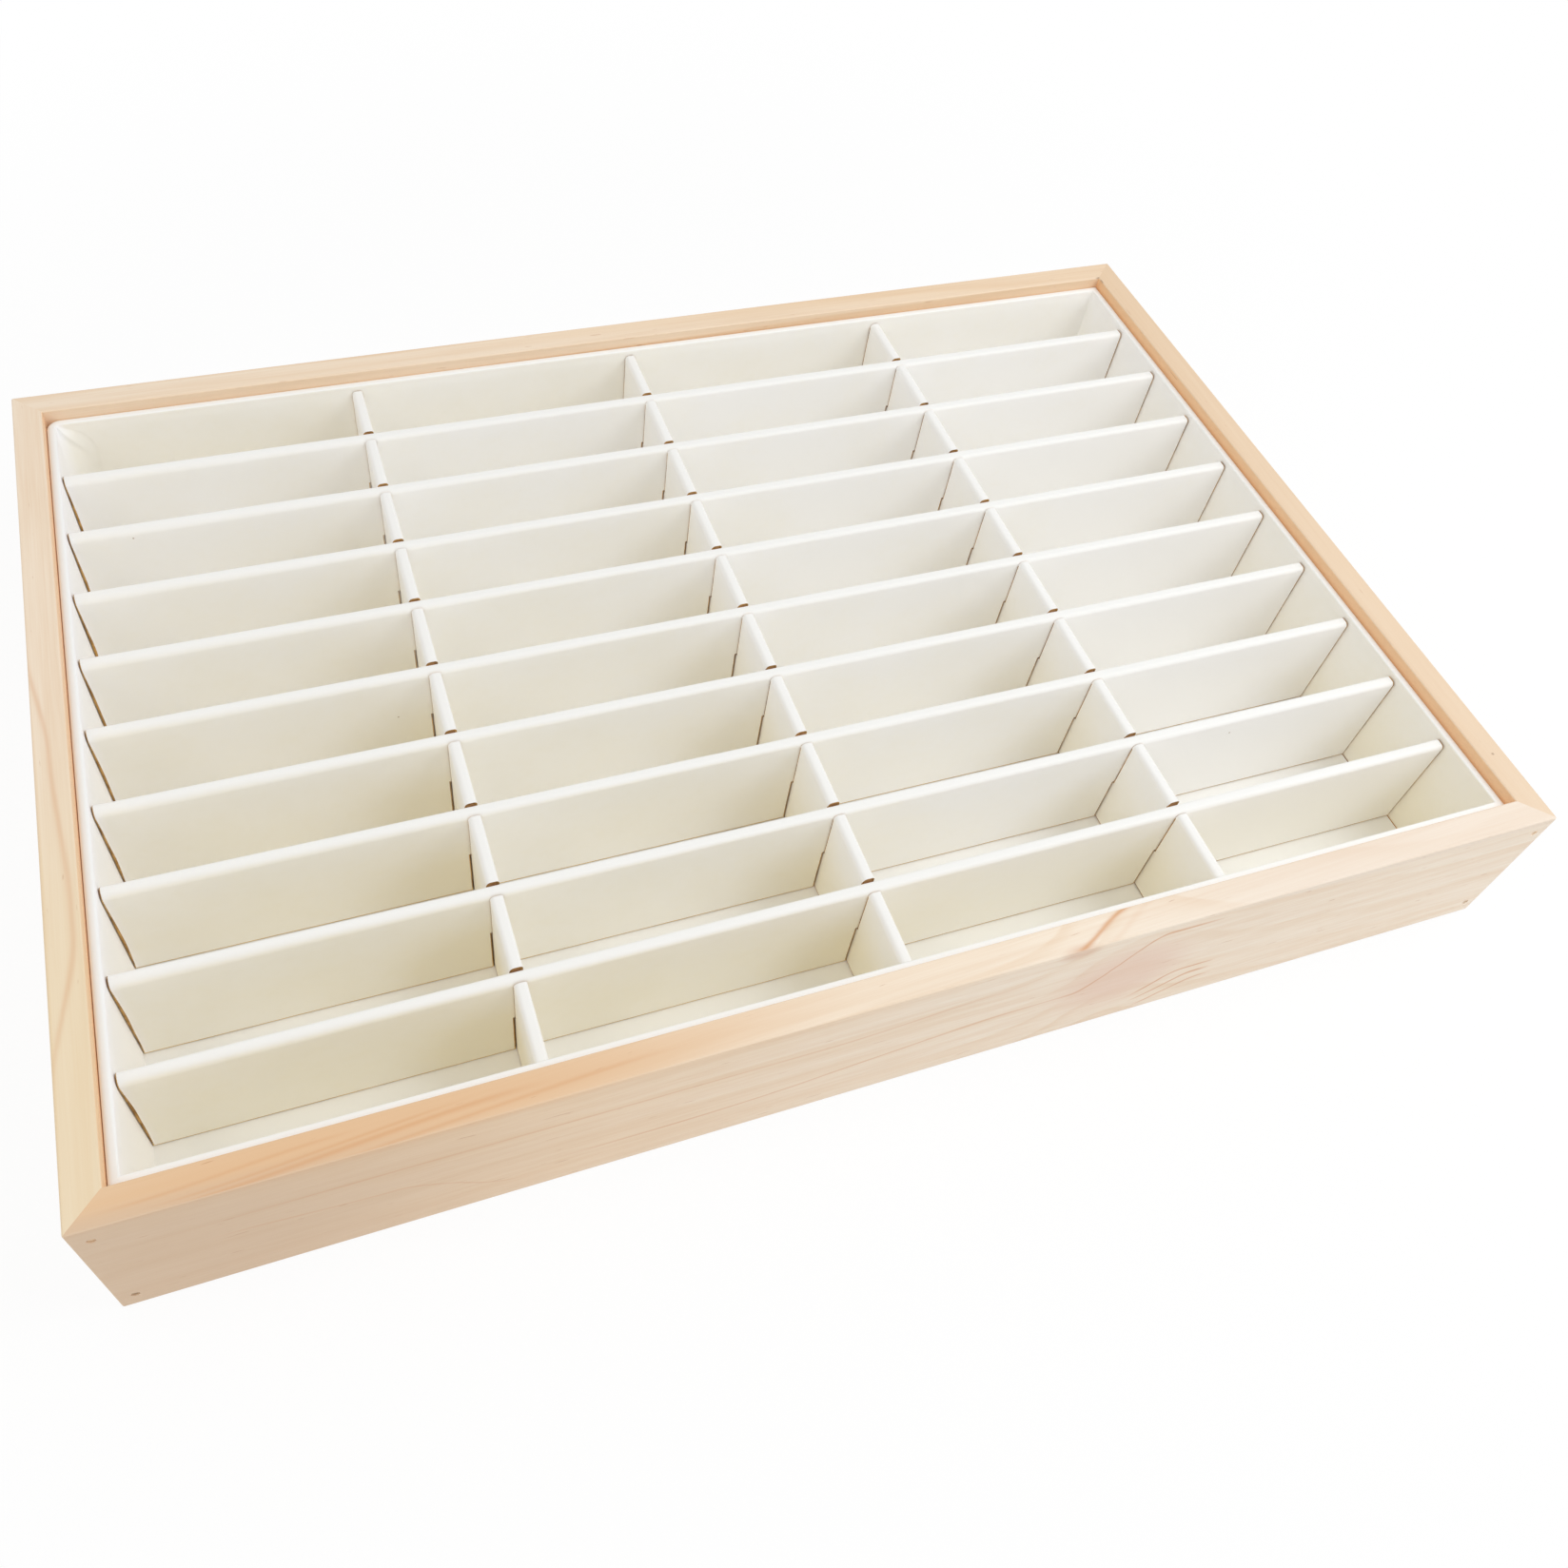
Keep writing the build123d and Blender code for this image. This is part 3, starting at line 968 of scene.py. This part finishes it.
class WallSkin:
    """The leatherette over the liner's four walls, as one closed strip. A station is a side of the
    liner's outline and a share of its length."""

    def __init__(self):
        low, high = box_mm("liner_wall_wrap")
        self.low = low.z
        self.top = high.z
        self.half_x = high.x
        self.half_y = high.y
        self.inner = ring_path(self.half_x, self.half_y, SOFT_CORNER_RADIUS, LINER_WALL)
        self.column_xs = [(low.x + high.x) / 2 for low, high in cross_boxes()]

    def stations(self):
        """Places round the liner, which are closer together beside the soft corner."""
        length, width = 2 * self.half_x, 2 * self.half_y
        near = FINE_LENGTH / length
        back = spread(0, 1 - near, STATION_STEP / length)[:-1] + spread(1 - near, 1, FINE_STEP / length)
        near = FINE_LENGTH / width
        left = spread(0, near, FINE_STEP / width)[:-1] + spread(near, 1, STATION_STEP / width)
        shares = {
            FRONT: spread(0, 1, STATION_STEP / length),
            RIGHT: spread(0, 1, STATION_STEP / width),
            BACK: back,
            ARC: spread(0, 1, 1 / ARC_STEPS),
            LEFT: left,
        }
        return [(side, share) for side in shares for share in shares[side][:-1]]

    def below_rim(self, z):
        return max(0.0, self.top - RIM_RADIUS - z)

    def round_corner(self, side, share):
        """The place round the soft corner: 0 where it joins the back wall and 1 where it joins the left."""
        if side == BACK:
            return -(1 - share) * 2 * self.half_x / CORNER_RUN
        return share if side == ARC else 1 + share * 2 * self.half_y / CORNER_RUN

    def pucker(self, side, share, below):
        """A tuck that runs down from the soft corner: a fold, with a steep edge to a hollow left of it."""
        if side in (FRONT, RIGHT):
            return 0.0
        place = self.round_corner(side, share) - TUCK_PLACE + TUCK_LEAN * below
        fade = math.exp(-below / PUCKER_FADE) * min(1.0, below / TUCK_START)
        hollow = 0.5 + 0.5 * math.tanh(place / TUCK_EDGE)
        height = TUCK_FOLD * (1 - hollow) - TUCK_HOLLOW * hollow
        return height * fade * math.exp(-abs(place) / TUCK_REACH)

    def swell(self, share, z, below):
        """Soft bulges of the back wall, which are calm by the cross dividers' ends."""
        x = self.inner(BACK, share)[0]
        quiet = min([1.0] + [abs(x - column) / CROSS_CALM for column in self.column_xs])
        quiet *= min(1.0, below / RIM_CALM) * clamp((z - self.low) / FOOT_CALM)
        return WALL_SWELL * quiet * max(0.0, 0.5 + ripple_at(x / BULGE_LENGTH, z / BULGE_HEIGHT, 4.0))

    def lift(self, station, z, nv):
        """How far the leatherette stands off its board."""
        below = self.below_rim(z)
        if nv < 0:
            return WALL_SLACK * clamp((TURN_DOWN - below) / EDGE_EASE)
        side, share = station
        if nv < 0.5 or side == FRONT:
            return 0.0
        wave = WALL_SLACK * min(1.0, below / RIM_EASE)
        if side == BACK:
            wave += self.swell(share, z, below)
        return wave + self.pucker(side, share, below)

    def cove(self, z, nv):
        """How much rounder the soft corner is inside, where slack leatherette fills it below the rim."""
        if nv < 0.5:
            return 0.0
        deep = 1 - math.exp(-self.below_rim(z) / COVE_DEPTH)
        return CORNER_COVE * deep * ease((z - self.low) / COVE_RISE)

    def row(self, station, depth):
        points = []
        for offset, z, nv, nz in wall_profile(self.top, self.low, rim_fold(*station)):
            moved = offset + nv * (self.lift(station, z, nv) - depth)
            path = ring_path(self.half_x, self.half_y, SOFT_CORNER_RADIUS + self.cove(z, nv), moved)
            points.append((*path(*station), z - nz * depth))
        return points

    def grid(self, depth):
        return [self.row(station, depth) for station in self.stations()]


def make_wall_skin():
    skin = WallSkin()
    made = shell("liner_wall_skin", skin.grid(0.0), skin.grid(SKIN), (liner_ivory, backing), closed=True)
    face_outwards(made, FRONTWARDS)
    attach(made, "liner")
    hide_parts("liner_wall_wrap")


# The liner's floor skin

# The bare strip at the floor's edge along the right wall, which also paints the shade line in that corner
BARE_AND_SHADE_FLOOR_EDGE = 0.55
FLOOR_CLEARANCE = 0.02
# Depth, length and width of a dip, and the seed that places the dips
FLOOR_DIP = 0.07
DIP_LENGTH = 24.0
DIP_WIDTH = 13.0
DIP_SEED = 40.0
# Spacing of the points
FLOOR_STEP_X = 2.6
FLOOR_STEP_Y = 1.6


def make_floor_skin():
    """The compartments' floor. It dips a little between the feet of the dividers."""
    low, high = box_mm("liner_floor_wrap")
    across = spread(low.x, high.x - BARE_AND_SHADE_FLOOR_EDGE, FLOOR_STEP_X) + [high.x]
    deep = spread(low.y, high.y, FLOOR_STEP_Y)

    def dipped(x, y):
        dip = max(0.0, 0.5 + ripple_at(x / DIP_LENGTH, y / DIP_WIDTH, DIP_SEED))
        return high.z - (FLOOR_CLEARANCE + FLOOR_DIP * dip)

    def cut(i, _):
        """True on the raw edge that shows along the right wall, which also paints the shade line in the
        corner there.
        """
        return i == len(across) - 2

    upper = [[(x, y, dipped(x, y)) for y in deep] for x in across]
    under = [[(x, y, high.z - SKIN) for y in deep] for x in across]
    made = shell("liner_floor_skin", upper, under, (liner_ivory, backing), cut=cut)
    face_outwards(made, Z_AXIS)
    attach(made, "liner")
    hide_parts("liner_floor_wrap")


# Camera: the view of a plain lens that fits the tray's edges best

IMAGE_SIZE = 1648.0
SENSOR = 36.0
NEAR_CLIP = 0.01
FOCAL_PIXELS = 1455.8
CENTRE_PIXELS = (779.4, 776.1)
CAMERA_PLACE = (-0.1102, -0.22851, 0.31092)
LOOK_RIGHT = (0.93949, -0.32696, 0.10229)
LOOK_DOWN = (-0.20189, -0.76964, -0.60572)
LOOK_AHEAD = (0.27677, 0.54841, -0.78908)


def make_camera():
    data = bpy.data.cameras.new("camera")
    data.sensor_width = SENSOR
    data.lens = FOCAL_PIXELS / IMAGE_SIZE * SENSOR
    data.shift_x = (IMAGE_SIZE / 2 - CENTRE_PIXELS[0]) / IMAGE_SIZE
    data.shift_y = (CENTRE_PIXELS[1] - IMAGE_SIZE / 2) / IMAGE_SIZE
    data.clip_start = NEAR_CLIP
    camera = add_object("camera", data)
    right, up, back = Vector(LOOK_RIGHT), -Vector(LOOK_DOWN), -Vector(LOOK_AHEAD)
    turn = Matrix((right, up, back)).transposed().to_4x4()
    camera.matrix_world = Matrix.Translation(CAMERA_PLACE) @ turn
    bpy.context.scene.camera = camera


# Stage and light

WORLD_LEVEL = 0.64
FLOOR_WHITE = (0.95, 0.95, 0.95, 1.0)
FLOOR_SIZE = 8.0
FLOOR_DROP = 0.0002
# The floor's share of plain white under the tray, and where it begins and ends to grow to 1, in metres
FLOOR_SHARE = 0.9
FADE_START = 0.22
FADE_END = 0.46
LAMP_TARGET = (0.0, 0.0, 0.02)
# Light that goes down between the pale compartment walls bounces more often than the usual 4 times
DIFFUSE_BOUNCES = 10


def seen_directly(tree):
    """1 for rays from the eye, and for those that gloss and glass send on."""
    path = tree.new("ShaderNodeLightPath").outputs
    first = tree.math("MAXIMUM", path["Is Camera Ray"], path["Is Glossy Ray"])
    return tree.math("MAXIMUM", first, path["Is Transmission Ray"])


def make_world():
    """White to the eye, and a softer light on the tray."""
    world = bpy.data.worlds.new("studio")
    bpy.context.scene.world = world
    tree = Nodes(world)
    soft = tree.node("ShaderNodeBackground", Color=WHITE, Strength=WORLD_LEVEL)
    white = tree.node("ShaderNodeBackground", Color=WHITE, Strength=1.0)
    mixed = tree.node("ShaderNodeMixShader", seen_directly(tree), soft, white)
    tree.fill(tree.new("ShaderNodeOutputWorld"), mixed)


def floor_material():
    """A white card that shows the tray's shadow faintly, and turns plain white further off."""
    material = bpy.data.materials.new("studio_floor")
    tree = Nodes(material)
    card = tree.node("ShaderNodeBsdfDiffuse", Color=FLOOR_WHITE)
    glow = tree.node("ShaderNodeEmission", Color=WHITE, Strength=1.0)
    away = tree.vector("LENGTH", tree.new("ShaderNodeTexCoord").outputs["Object"])
    fade = tree.between(away, FADE_START, FADE_END, FLOOR_SHARE, 1.0)
    mixed = tree.node("ShaderNodeMixShader", tree.times(seen_directly(tree), fade), card, glow)
    tree.fill(tree.new("ShaderNodeOutputMaterial"), mixed)
    return material


def make_floor():
    half = FLOOR_SIZE / 2
    corners = ((-half, -half), (half, -half), (half, half), (-half, half))
    mesh = bpy.data.meshes.new("floor")
    mesh.from_pydata([(x, y, -FLOOR_DROP) for x, y in corners], [], [(0, 1, 2, 3)])
    mesh.materials.append(floor_material())
    floor = add_object("floor", mesh)


def make_lamp(name, side, height, distance, size, level, tint):
    """A round soft lamp aimed at the tray, side degrees to the right of straight in front of it and
    height degrees up. level is the brightness it alone gives a white card held square to it there."""
    side, height = math.radians(side), math.radians(height)
    place = Vector((distance * math.sin(side) * math.cos(height),
                    -distance * math.cos(side) * math.cos(height),
                    distance * math.sin(height)))
    to_target = Vector(LAMP_TARGET) - place
    data = bpy.data.lights.new(name, "AREA")
    data.shape = "DISK"
    data.size = size
    data.color = tint
    data.energy = level * math.pi ** 2 * to_target.length_squared
    lamp = add_object(name, data)
    lamp.location = place
    lamp.rotation_mode = "QUATERNION"
    lamp.rotation_quaternion = to_target.to_track_quat("-Z", "Y")


def make_lights():
    make_lamp("key", side=70.0, height=48.0, distance=0.85, size=0.6, level=0.40, tint=(0.95, 0.98, 1.0))
    make_lamp("fill", side=-72.0, height=46.0, distance=1.1, size=0.7, level=0.16, tint=(1.0, 0.96, 0.87))


bpy.context.scene.view_settings.view_transform = "Standard"
bpy.context.scene.cycles.diffuse_bounces = DIFFUSE_BOUNCES
ivory = leatherette("ivory_leatherette", warm_left=0.38, warm_right=-0.1)
cross_ivory = leatherette("cross_leatherette", warm_left=0.0, warm_right=0.2)
liner_ivory = leatherette("liner_leatherette", warm_left=1.5, warm_right=0.36)
backing = leatherette_backing("leatherette_backing")
paint_nodes()
make_divider_skins()
make_wall_skin()
make_floor_skin()
make_camera()
make_world()
make_floor()
make_lights()

bpy.context.view_layer.update()
